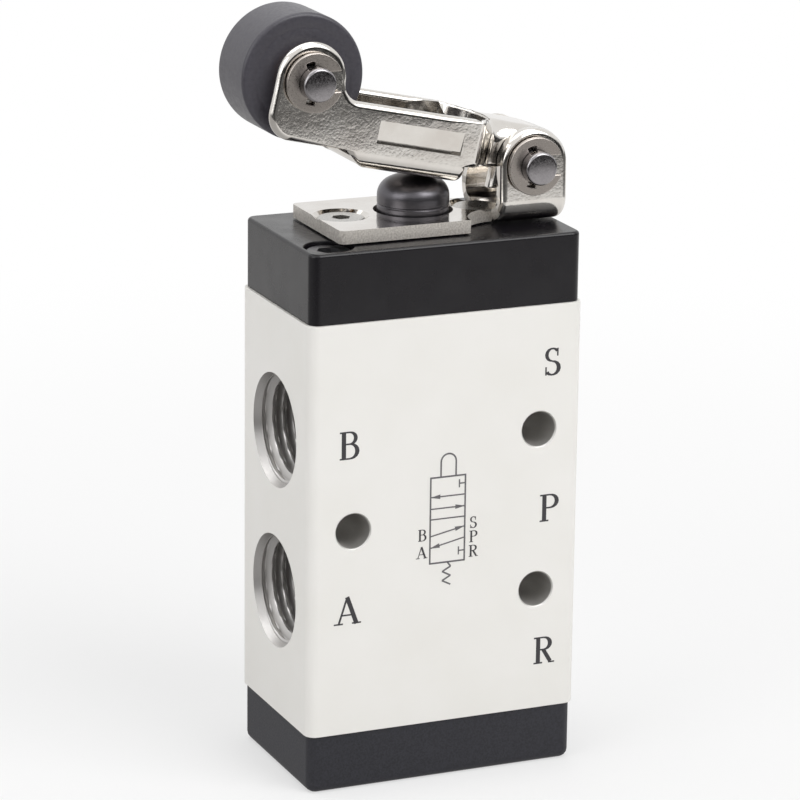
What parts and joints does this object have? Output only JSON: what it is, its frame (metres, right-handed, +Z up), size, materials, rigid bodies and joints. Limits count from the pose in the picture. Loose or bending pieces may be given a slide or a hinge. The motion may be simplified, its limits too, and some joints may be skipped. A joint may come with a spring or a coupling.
{
  "type": "roller lever air valve",
  "caption": "Roller lever air valve: a stamped lever with a roller presses a domed plunger that shifts a spool in a block with threaded side ports.",
  "frame": {"origin": "centre of the bottom face, where the bottom cap rests", "axes": "+X towards the supply and exhaust ports, +Y from the front face with the mounting holes towards the back, +Z up towards the lever"},
  "size_m": [0.0409, 0.022, 0.093],
  "materials": {
    "white_coat": "white satin coating",
    "black_gloss": "black gloss coating",
    "charcoal": "dark grey fine-grained coating",
    "nitrile": "satin",
    "screw_steel": "zinc plated",
    "nickel": "bright nickel plated",
    "pin_steel": "ground",
    "clip_steel": "plated",
    "roller_polymer": "dark grey matt",
    "bronze": "plain bearing bronze",
    "plunger_grey": "dark grey hard anodised",
    "aluminium": "turned",
    "spring_steel": "drawn"
  },
  "bodies": {
    "housing": {"valve_body": "white_coat", "top_cap": "black_gloss", "bottom_cap": "charcoal", "top_gasket": "nitrile", "bottom_gasket": "nitrile", "top_cap_screw_1": "screw_steel", "top_cap_screw_2": "screw_steel", "bottom_cap_screw_1": "screw_steel", "bottom_cap_screw_2": "screw_steel", "lever_bracket": "nickel", "bracket_screw_1": "screw_steel", "bracket_screw_2": "screw_steel", "pivot_pin": "pin_steel", "pivot_clip_front": "clip_steel", "pivot_clip_back": "clip_steel", "plunger_seal": "nitrile", "return_spring": "spring_steel"},
    "lever": {"lever": "nickel", "roller_pin": "pin_steel", "roller_clip_front": "clip_steel", "roller_clip_back": "clip_steel"},
    "roller": {"roller": "roller_polymer", "roller_bush": "bronze"},
    "plunger": {"plunger": "plunger_grey"},
    "spool": {"spool": "aluminium", "spool_seal_1": "nitrile", "spool_seal_2": "nitrile", "spool_seal_3": "nitrile", "spool_seal_4": "nitrile", "spool_seal_5": "nitrile", "spool_seal_6": "nitrile"}
  },
  "joints": [
    {"name": "lever_hinge", "type": "hinge", "parent": "housing", "child": "lever", "pos_m": [0.0128, 0, 0.0734], "axis": [0, -1, 0], "range_deg": [0, 15], "stiffness_Nm_per_rad": 0.22, "springref_deg": -14.32},
    {"name": "roller_spin", "type": "hinge", "parent": "lever", "child": "roller", "pos_m": [-0.01564, 0, 0.08548], "axis": [0, 1, 0], "continuous": true},
    {"name": "plunger_slide", "type": "slide", "parent": "housing", "child": "plunger", "axis": [0, 0, -1], "range_m": [0, 0.0032]},
    {"name": "spool_slide", "type": "slide", "parent": "housing", "child": "spool", "axis": [0, 0, -1], "range_m": [0, 0.0032], "deforming": ["return_spring"]}
  ],
  "couplings": [
    {"joint": "plunger_slide", "follows": "lever_hinge", "m_per_rad": 0.01207},
    {"joint": "spool_slide", "follows": "lever_hinge", "m_per_rad": 0.01207}
  ]
}
